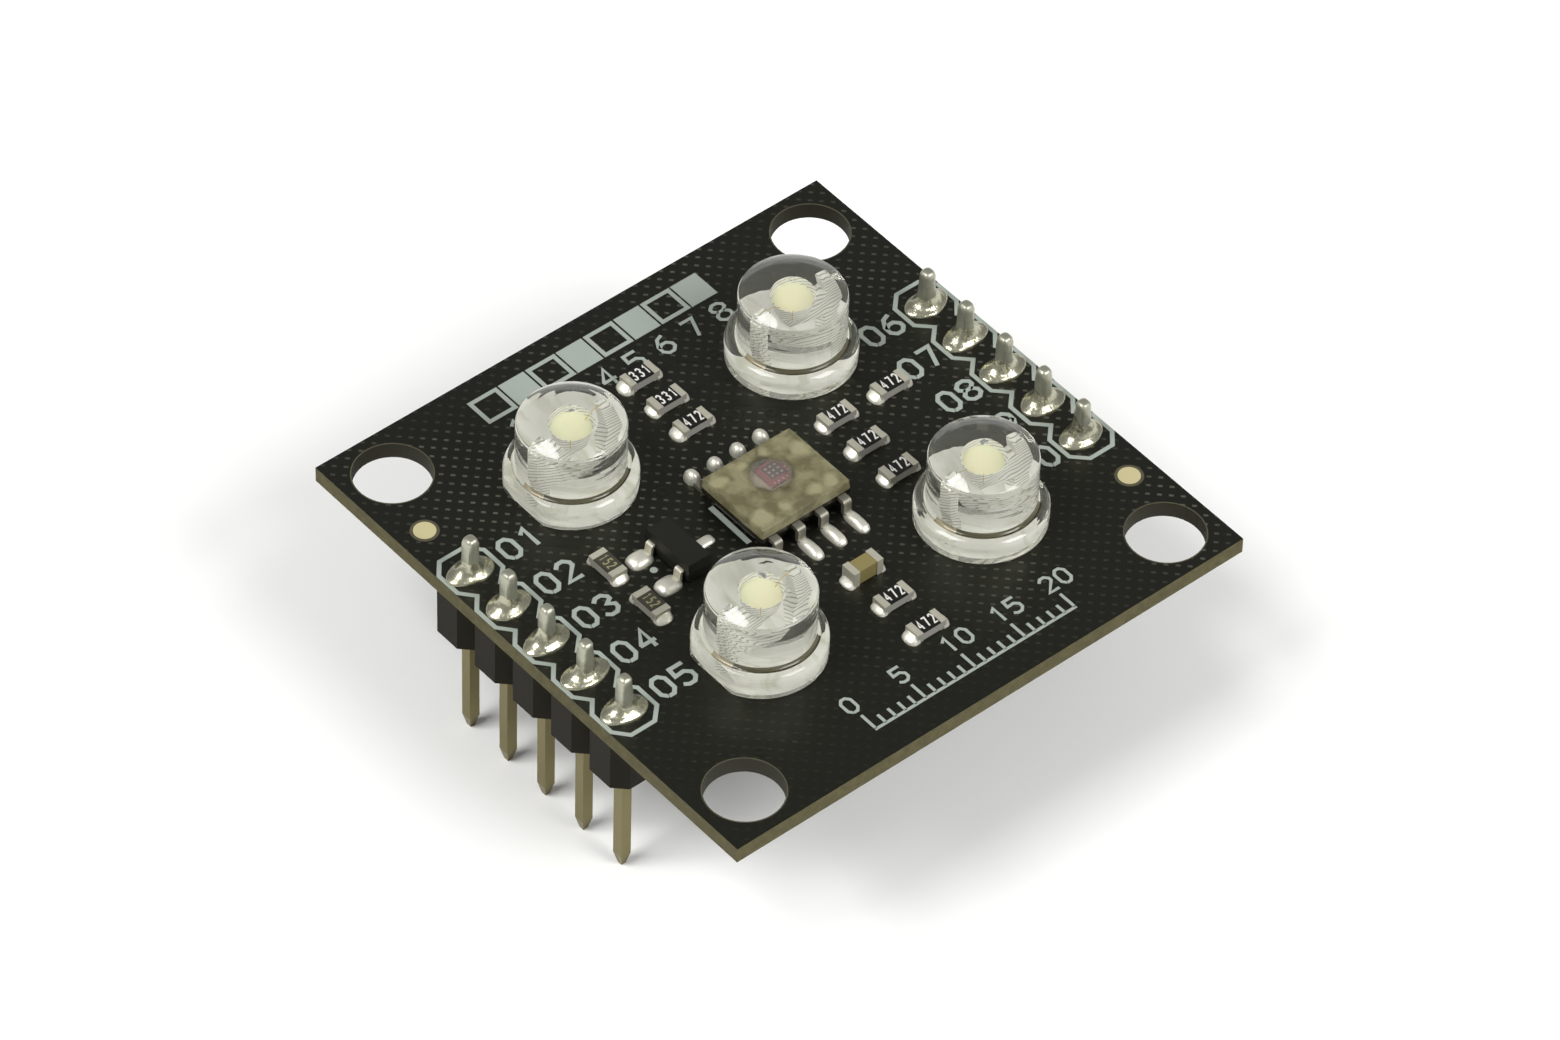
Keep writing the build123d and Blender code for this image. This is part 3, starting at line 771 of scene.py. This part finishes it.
def package_grid(centre, low, high, half_x, half_y):
    """Grid of the moulding from the middle of its top out, down its two drafted halves and in underneath.

    Rows near the window's middle are circles that blend to the rounded rectangle. The window and the round
    marks that the mould's ejector pins leave are lowered smoothly. Underneath, the sides draw in.
    """
    steps = 14
    outline = rounded_rectangle(1.0, half_y / half_x, package_corner / half_x, steps) * half_x
    angle = np.arctan2(outline[:, 1], outline[:, 0])
    circle = np.stack([np.cos(angle), np.sin(angle)], axis=-1)
    middle = (low + high) / 2
    top_edge = 1 - package_draft / half_x
    rows = []
    radii = np.concatenate([np.linspace(0.001, window_radius - 0.06, 8),
                            np.linspace(window_radius - 0.02, ring_radius + 0.08, 9)])
    for radius in radii:
        rows.append(np.column_stack([circle * radius + window_offset, np.full(len(circle), high)]))
    for share in np.linspace(0.12, 1, 22):
        flat = (circle * radii[-1] + window_offset) * (1 - share) + outline * top_edge * share
        rows.append(np.column_stack([flat, np.full(len(flat), high)]))
    drawn_in = 1 - under_draft / half_x
    for share, height in ((top_edge + 0.012, high - 0.03), (1.0, middle), (1.0, middle - 0.02),
                          (drawn_in, low + 0.02), (drawn_in - 0.012, low), (0.5, low), (0.001, low)):
        rows.append(np.column_stack([outline * share, np.full(len(outline), height)]))
    grid = np.stack(rows)
    on_top = grid[..., 2] > high - 0.001
    away = np.hypot(grid[..., 0] - window_offset[0], grid[..., 1] - window_offset[1])
    sink = window_step * np.clip((window_radius - away) / 0.05, 0, 1)
    sink += ring_depth * np.exp(-((away - ring_radius) / ring_breadth) ** 2)
    for x, y in pin_marks:
        off = np.hypot(grid[..., 0] - x, grid[..., 1] - y)
        sink += pin_mark_depth * np.clip((pin_mark_radius - off) / 0.08, 0, 1)
    grid[..., 2] -= np.where(on_top, sink, 0)
    grid[..., 0] += centre[0]
    grid[..., 1] += centre[1]
    return grid


package = make_piece("sensor_moulding",
                     [package_grid(chip_centre, chip_low[2], chip_high[2], chip_half[0], chip_half[1])],
                     moulding_finish, 40)
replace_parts(package, "sensor_package")


def die_square(x, y, size, rise):
    """Grid of a thin square patch on the die, at a place counted from the die's middle."""
    x += die_middle[0]
    y += die_middle[1]
    return ribbon([(x - size / 2, y), (x + size / 2, y)], size, die_top - 0.004, die_top + rise)


# A field of photodiodes with nine contacts on it, and contacts along two of the die's edges
field_x = -0.10
cell_pitch = 0.25
make_piece("sensor_photodiodes", [die_square(field_x, 0.0, 0.80, 0.003)], cell_finish)
contacts = [die_square(field_x + column * cell_pitch, row * cell_pitch, 0.11, 0.006)
            for column in (-1, 0, 1) for row in (-1, 0, 1)]
contacts += [die_square(0.52, y, 0.10, 0.005) for y in (-0.44, -0.22, 0.02, 0.24)]
contacts += [die_square(x, 0.52, 0.10, 0.005) for x in (0.02, 0.24, 0.44)]
make_piece("sensor_contacts", contacts, contact_finish)

chip_wires = []
for number in range(1, 9):
    lead_y = middle_of(f"sensor_lead_{number}")[1]
    side_x = 1 if number > 4 else -1
    inner_x = chip_centre[0] + side_x * (chip_half[0] - 0.50)
    start = (die_middle[0] + side_x * 0.58, die_middle[1] + (lead_y - die_middle[1]) * 0.28, die_top)
    end = (inner_x, lead_y, chip_centre[2] + 0.10)
    chip_wires.append(bond_wire(start, end, 0.14, chip_wire_radius))
make_piece("sensor_bond_wires", chip_wires, wire_finish)


# Solder

def header_joint(x, y, number):
    """Two grids: the dish of a hand-soldered joint over its oval pad, and the coated pin that stands in it.

    Out from the pin the dish falls as a power of the distance, on a low dome. The outline at each height
    blends from a rounded square round the pin to the pad's oval, and slow waves make each joint differ.
    """
    steps = 56
    angle = np.linspace(0, 2 * pi, steps, endpoint=False)
    coat = pin_width / 2 + joint_coat
    square = coat / (np.abs(np.cos(angle)) ** 3 + np.abs(np.sin(angle)) ** 3) ** (1 / 3)
    oval = 1 / np.hypot(np.cos(angle) / (joint_pad_width / 2), np.sin(angle) / (joint_pad_length / 2))
    wave = 1 + 0.04 * np.sin(2 * angle + number * 1.7) + 0.03 * np.sin(3 * angle + number * 2.9)

    def levels(rows):
        """Grid of rows of (radius, height) round the joint's middle."""
        return np.stack([np.stack([x + radius * np.cos(angle), y + radius * np.sin(angle),
                                   board_top + rise * np.ones(steps)], axis=-1) for radius, rise in rows])

    dish = [(oval * 0.001, 0.004), (oval * wave, 0.004)]
    for share in np.linspace(1, 0, 28):
        flare = joint_heights[number] * (1 - share) ** joint_flare_power
        rise = joint_rim_height + flare + joint_dome_height * np.sqrt(max(1 - share ** 2, 0))
        lean = 1 + 0.14 * (1 - share) * np.cos(angle + number) + 0.06 * np.sin(2 * angle + number) * share
        dish.append((square * joint_neck + (oval * wave - square * joint_neck) * share, rise * lean))
    tip = pin_top_height
    pin = [(square * 0.001, 0.05), (square * 0.9, 0.05)]
    for height in np.linspace(0.15, tip - 0.30, 12):
        sway = 1 + 0.22 * (1 - height / tip) + 0.04 * np.sin(height * 4.3 + number)
        pin.append((square * (sway + 0.04 * np.sin(2 * angle + number)), height))
    pin += [(square * 0.97, tip - 0.16), (square * 0.86, tip - 0.07), (square * 0.62, tip - 0.01),
            (square * 0.30, tip + 0.01), (square * 0.001, tip + 0.015)]
    return levels(dish), levels(pin)


for side, y, first in (("near", -row_y, 0), ("far", row_y, 5)):
    joints = [header_joint(x, y, first + index) for index, x in enumerate(pin_xs)]
    made = make_piece(f"header_joints_{side}", [dish for dish, pin in joints], solder_finish, 60)
    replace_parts(made, f"header_solder_{side}")
    make_piece(f"pin_coats_{side}", [pin for dish, pin in joints], coat_finish, 50)


def solder_mound(x, y, turn, start, run, width, rise, bulge):
    """Grid of solder that runs out from start along turn: concave at bulge 0, rounded at bulge 1.

    Across, each section is an arch. Along, its height falls from rise to nothing and its width draws in
    round the toe.
    """
    out = np.linspace(0, 1, 16)[:, None]
    across = np.linspace(-1, 1, 17)[None, :]
    fall = (1 - bulge) * (1 - out) ** 2.0 + bulge * np.sqrt(np.maximum(1 - out ** 2.4, 0))
    draw = np.sqrt(np.maximum(1 - (np.maximum(out - 0.45, 0) / 0.55) ** 2, 0))
    half = width / 2 * draw
    arch = np.maximum(1 - np.abs(across) ** 3.0, 0) ** 0.5
    points = np.stack([start + run * out * np.ones_like(across), half * across, rise * fall * arch], axis=-1)
    return turned(points, (x, y, board_top + 0.002), turn)


def solder_drop(x, y, turn, half_run, half_width, rise, squareness=2.0):
    """Grid of a rounded drop of solder: a dome whose outline is an ellipse, squarer at a higher power.

    Its height falls from rise in the middle to nothing at the outline as the root of 1 - r squared.
    """
    angle = np.linspace(0, 2 * pi, 36, endpoint=False)[None, :]
    reach = np.sin(np.linspace(0.001, pi / 2, 14))[:, None]
    outline = np.abs(np.cos(angle)) ** squareness + np.abs(np.sin(angle)) ** squareness
    outline = reach * outline ** (-1 / squareness)
    height = rise * np.sqrt(np.maximum(1 - reach ** 2, 0)) * np.ones_like(angle)
    points = np.stack([half_run * outline * np.cos(angle), half_width * outline * np.sin(angle), height],
                      axis=-1)
    return turned(points, (x, y, board_top + 0.002), turn)


mounds = []
for number in range(1, 12):
    low, high = resistor_boxes[number]
    middle = (low + high) / 2
    along = 0 if high[0] - low[0] > high[1] - low[1] else 90
    for way in (0, 180):
        wobble = 1 + 0.16 * np.sin(number * 3.1 + way)
        reach = resistor_mound_reach * wobble
        mounds.append(solder_mound(middle[0], middle[1], along + way, part_half_length - 0.14, reach,
                                   part_width + 0.08, reach, resistor_mound_bulge))
cap_middle = middle_of("capacitor_body")
for way in (90, 270):
    mounds.append(solder_mound(cap_middle[0], cap_middle[1], way, part_half_length - 0.08,
                               capacitor_mound_run, part_width + 0.06, capacitor_mound_rise,
                               capacitor_mound_bulge))
for number in range(1, 9):
    low, high = node_box(f"sensor_lead_{number}")
    lead_y = (low[1] + high[1]) / 2
    wobble = 1 + 0.06 * np.sin(number * 2.2)
    if number > 4:
        mounds.append(solder_drop(high[0] + 0.08, lead_y, 0, 0.72, 0.31, 0.34 * wobble, 3.2))
    else:
        mounds.append(solder_drop(low[0] - 0.24, lead_y, 0, 0.42 * wobble, 0.34, 0.50 * wobble))
transistor_middle = middle_of("transistor_body")
for number, way in ((1, -90), (2, -90), (3, 90)):
    lead_x = middle_of(f"transistor_lead_{number}")[0]
    if way < 0:
        mounds.append(solder_drop(lead_x + 0.05, transistor_middle[1] - 1.36, way, 0.60, 0.48, 0.34, 3.0))
    else:
        mounds.append(solder_drop(lead_x, transistor_middle[1] + 1.40, way, 0.52, 0.28, 0.17, 4.0))
part_joints = make_piece("part_joints", mounds, reflow_finish, 60)
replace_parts(part_joints, "surface_solder")


# Screen print: outlines, plain numbers and two scales

digit_strokes = {
    "0": [((0.3, 0), (0.7, 0), (1, 0.35), (1, 1.25), (0.7, 1.6), (0.3, 1.6), (0, 1.25), (0, 0.35),
           (0.3, 0))],
    "1": [((0.15, 1.25), (0.55, 1.6), (0.55, 0))],
    "2": [((0, 1.3), (0.3, 1.6), (0.7, 1.6), (1, 1.3), (1, 1.0), (0, 0), (1, 0))],
    "3": [((0, 1.35), (0.3, 1.6), (0.7, 1.6), (1, 1.3), (1, 1.1), (0.6, 0.85), (1, 0.6), (1, 0.3), (0.7, 0),
           (0.3, 0), (0, 0.25))],
    "4": [((0.75, 0), (0.75, 1.6), (0, 0.5)), ((-0.06, 0.5), (1.05, 0.5))],
    "5": [((1, 1.6), (0.05, 1.6), (0, 0.95), (0.65, 1.0), (1, 0.7), (1, 0.3), (0.7, 0), (0.3, 0), (0, 0.2))],
    "6": [((0.85, 1.6), (0.35, 1.4), (0, 0.8), (0, 0.3), (0.3, 0), (0.7, 0), (1, 0.3), (1, 0.6), (0.7, 0.9),
           (0.3, 0.9), (0, 0.65))],
    "7": [((0, 1.6), (1, 1.6), (0.4, 0))],
    "8": [((0.3, 0.85), (0, 1.1), (0, 1.35), (0.3, 1.6), (0.7, 1.6), (1, 1.35), (1, 1.1), (0.7, 0.85),
           (0.3, 0.85), (0, 0.55), (0, 0.25), (0.3, 0), (0.7, 0), (1, 0.25), (1, 0.55), (0.7, 0.85))],
    "9": [((0.15, 0), (0.65, 0.2), (1, 0.8), (1, 1.3), (0.7, 1.6), (0.3, 1.6), (0, 1.3), (0, 1.0),
           (0.3, 0.7), (0.7, 0.7), (1, 0.95))],
}


def number_ribbons(words, x, y, turn, height, width, low, high, digit_width=None):
    """Ribbons of a row of digits whose first corner is at x, y, read along turn.

    A digit's second stroke is a hair thicker than its first, so that no two faces lie in one plane.
    """
    tall = height / 1.6
    wide = digit_width or tall
    ribbons = []
    for index, digit in enumerate(words):
        for order, stroke in enumerate(digit_strokes[digit]):
            path = np.asarray(stroke) * (wide, tall) + (index * (wide + 0.55 * tall), 0)
            hair = order * 0.001
            ribbons.append(turned(ribbon(path, width, low - hair, high + hair), (x, y, 0), turn))
    return ribbons


ink = []
print_low = board_top - 0.004
print_high = board_top + print_rise


def print_line(path, width=print_width, closed=False):
    """Add a printed line along a path."""
    ink.append(ribbon(path, width, print_low, print_high, closed))


def print_number(words, x, y, height, width=print_width):
    """Add a plain number that is read along +Y."""
    ink.extend(number_ribbons(words, x, y, 90, height, width, print_low, print_high))


def pin_outline(y):
    """Closed zigzag round a row of pins: each pin's eight-sided outline, joined to the next."""
    upper = []
    for x in pin_xs:
        upper += [(x - outline_half, outline_corner), (x - outline_corner, outline_half),
                  (x + outline_corner, outline_half), (x + outline_half, outline_corner)]
    path = []
    for point in upper + [(-x, -height) for x, height in upper]:
        if not path or np.hypot(point[0] - path[-1][0], point[1] - path[-1][1]) > 1e-6:
            path.append(point)
    return [(x, y + height) for x, height in path]


print_limit = board_half - print_width / 2 - 0.01
for side_y in (-1, 1):
    outline = pin_outline(side_y * (row_y + 0.02))
    print_line(np.clip(outline, -print_limit, print_limit), closed=True)

# Plain numbers beside the pins
label_height = 1.15
for index, x in enumerate(pin_xs):
    print_number(f"{index + 1:02d}", x + label_height / 2, -row_y + 1.75, label_height)
    print_number(f"{index + 6:02d}", x + label_height / 2, row_y - 3.45, label_height)

# A scale of open and filled blocks along the left edge, with plain numbers beside it
scale_x = -12.10
scale_width = 1.55
scale_start = -6.60
block_length = 1.60
block_count = 8
block_gap = 0.10
for index in range(block_count):
    block_start = scale_start + index * block_length + block_gap
    block_end = block_start + block_length - 2 * block_gap
    if index % 2:
        print_line([(scale_x, block_start), (scale_x, block_end)], scale_width)
    else:
        left = scale_x - (scale_width - print_width) / 2
        right = scale_x + (scale_width - print_width) / 2
        print_line([(left, block_start), (right, block_start), (right, block_end), (left, block_end)],
                   closed=True)
    print_number(str(index + 1), scale_x + 2.30, block_start + 0.45, 1.05, 0.16)

# A fine scale of ticks along the right edge
tick_x = 12.45
tick_start = -5.2
tick_pitch = 0.55
tick_count = 21
tick_width = 0.14
tick_length = 0.55
long_tick_length = 0.95
for index in range(tick_count):
    long_tick = index % 5 == 0
    y = tick_start + index * tick_pitch
    print_line([(tick_x - (long_tick_length if long_tick else tick_length), y), (tick_x, y)], tick_width)
    if long_tick:
        print_number(str(index), tick_x - 1.25, y - 0.30, 0.85, tick_width)
tick_end = tick_start + (tick_count - 1) * tick_pitch
line_x = tick_x + 0.02
print_line([(line_x, tick_start - tick_width / 2), (line_x, tick_end + tick_width / 2)], tick_width)
# Line at the chip's first pin, and a dot by the transistor
print_line([(-1.62, -2.40), (1.02, -2.46)], 0.26)
ink.append(disc(-0.30, -6.61, 0.17, print_low, print_high, 20))
make_piece("screen_print", ink, ink_finish, 30)

# Value numbers on the resistors' glaze
codes = []
faded_codes = []
code_heights = (board_top + 0.49, board_top + 0.504)
for number in range(1, 12):
    x, y, _ = sum(resistor_boxes[number]) / 2
    if number < 10:
        value = "331" if number < 3 else "472"
        codes += number_ribbons(value, x + 0.25, y - 0.42, 90, 0.52, 0.075, *code_heights, 0.165)
    else:
        faded_codes += number_ribbons("152", x - 0.36, y - 0.22, 0, 0.44, 0.06, *code_heights, 0.13)
make_piece("resistor_codes", codes, code_finish, 30)
make_piece("faded_resistor_codes", faded_codes, faded_code_finish, 30)


# Bare copper and laminate on the board, tented vias and tracks under the mask

fiducials = ((-8.16, -12.67), (8.16, 12.67))
gold = [disc(x, y, 0.50, board_top - 0.01, board_top + 0.02, 48) for x, y in fiducials]
make_piece("fiducial_marks", gold, gold_finish, 30)

hole_inset = 2.33
hole_radius = 1.75
rings = []
for side_x in (-1, 1):
    for side_y in (-1, 1):
        x = side_x * (board_half - hole_inset)
        y = side_y * (board_half - hole_inset)
        for face in (board_top, board_bottom):
            rings.append(disc(x, y, hole_radius + 0.06, face - 0.006, face + 0.006, 72, hole_radius + 0.004))
rings += [disc(x, y, 0.64, board_top - 0.01, board_top + 0.004, 48, 0.51) for x, y in fiducials]
make_piece("bare_laminate_rings", rings, laminate_finish, 30)

via_places = ((-10.9, -3.9), (-8.6, 3.6), (-4.3, 3.2), (-3.6, -3.4), (3.1, -3.6), (3.4, 3.3), (-1.2, 10.2),
              (2.6, 9.7), (10.6, 3.4), (8.4, -3.2), (-3.4, 9.3), (3.9, -9.1), (-10.2, 9.6), (10.4, -9.8),
              (-5.2, 1.9), (4.4, 1.8))
via_profile = [(0.0, -0.01), (0.30, -0.01), (0.30, 0.004), (0.24, 0.016), (0.16, 0.016), (0.10, 0.004),
               (0.0, 0.002)]
vias = [revolved(via_profile, (x, y, board_top), 24) for x, y in via_places]
track_width = 0.26
tracks = (
    ((-2.54, -11.2), (-2.54, -9.2), (-1.53, -8.6)),
    ((-5.08, -11.2), (-5.08, -9.9), (-3.3, -8.1), (-2.5, -8.1)),
    ((2.54, -11.2), (2.54, -9.1), (2.1, -8.1)),
    ((-5.75, 1.1), (-5.75, 2.4), (-3.9, 4.25), (-2.2, 4.25)),
    ((-7.5, 1.1), (-7.5, 2.7), (-4.6, 5.6), (-4.0, 7.2), (-2.9, 8.07)),
    ((-9.3, 1.1), (-9.3, 2.2), (-8.7, 2.8), (-8.7, 3.4)),
    ((-3.8, 0.6), (-4.6, 0.6), (-5.0, 1.0), (-5.2, 1.8)),
    ((-3.8, -0.7), (-4.9, -0.7), (-5.75, -1.0)),
    ((-3.8, -2.0), (-6.0, -2.0), (-7.5, -1.1)),
    ((-0.2, 6.1), (-0.2, 8.5), (-1.2, 9.5), (-1.2, 10.1)),
    ((1.86, 6.1), (1.86, 8.2), (2.54, 8.9), (2.54, 11.2)),
    ((3.6, 0.6), (4.5, 0.6), (5.43, 1.0)),
    ((7.42, 1.1), (7.42, 2.2), (6.6, 3.0), (5.9, 3.0)),
    ((9.52, -1.0), (9.52, -2.2), (8.5, -3.1)),
    ((5.08, 11.2), (5.08, 10.2), (4.3, 9.4), (3.2, 9.4)),
)
wires = [ribbon(path, track_width, board_top - 0.004, board_top + 0.009) for path in tracks]
make_piece("covered_tracks_and_vias", vias + wires, mask_finish, 30)


# Camera at the photograph's view: its place and axes come from the board's corners and holes in the photo
camera_place = Vector((200.63, -177.13, 278.84 + board_top)) * mm
camera_right = Vector((0.64454, 0.76425, 0.02197))
camera_up = Vector((-0.56240, 0.45446, 0.69077))
image_width = 1560
focal_length_px = 9111.5

camera_data = bpy.data.cameras.new("camera")
camera_data.sensor_width = 36.0
camera_data.lens = focal_length_px * camera_data.sensor_width / image_width
camera_data.clip_start = 0.01
camera_data.clip_end = 10
camera = new_object("camera", camera_data)
camera_back = camera_right.cross(camera_up)
camera.matrix_world = Matrix.Translation(camera_place) @ Matrix(
    (camera_right, camera_up, camera_back)).transposed().to_4x4()
bpy.context.scene.camera = camera


# Floor and studio light

def area_light(name, place, target, size, power):
    """A square soft box at a place in metres, facing a target."""
    data = bpy.data.lights.new(name, "AREA")
    data.shape = "RECTANGLE"
    data.size = size
    data.size_y = size
    data.energy = power
    light = new_object(name, data)
    light.location = place
    light.rotation_mode = "QUATERNION"
    light.rotation_quaternion = (Vector(target) - Vector(place)).to_track_quat("-Z", "Y")


# White paper: matt and bright
floor_finish = plain("white paper sweep", "f6f6f4", 0.9)
sweep_size = 1.2
floor_mesh = bpy.data.meshes.new("floor")
floor_mesh.from_pydata([(-sweep_size, -sweep_size, 0), (sweep_size, -sweep_size, 0),
                        (sweep_size, sweep_size, 0), (-sweep_size, sweep_size, 0)], [], [(0, 1, 2, 3)])
floor_mesh.materials.append(floor_finish)
floor = new_object("floor", floor_mesh)

aim = (0, 0, 0.010)
lamp_size = 0.30
lamp_power = 2.8
area_light("key light", (-0.10, -0.35, 0.50), aim, lamp_size, lamp_power)
area_light("fill light", (0.45, 0.15, 0.40), aim, lamp_size, lamp_power)

world = bpy.data.worlds.new("studio")
bpy.context.scene.world = world
world.use_nodes = True
background = world.node_tree.nodes["Background"]
background.inputs["Color"].default_value = linear("ffffff")

# The studio is white at the horizon and grey above, darker behind the object, so that the glossy mask
# stays dark from the front and metal shows dark and bright sides
flag_azimuth = radians(138.5)
flag_height = radians(46)
flag_way = (cos(flag_height) * cos(flag_azimuth), cos(flag_height) * sin(flag_azimuth), sin(flag_height))
studio = world.node_tree
sky = add_node(studio, "TexCoord", {}).outputs["Generated"]
toward_flag = add_node(studio, "VectorMath", {"operation": "DOT_PRODUCT", 0: sky, 1: flag_way})
flagged = ramp(studio, toward_flag.outputs["Value"], cos(radians(55)), cos(radians(36)), 0.38, 0.28)
horizon = ramp(studio, parts_of(studio, sky)["Z"], 0.08, 0.22, 1.0, 0.0)
feed(studio, background, Strength=calculate(studio, "MAXIMUM", flagged, horizon))

bpy.context.scene.view_settings.view_transform = "Standard"
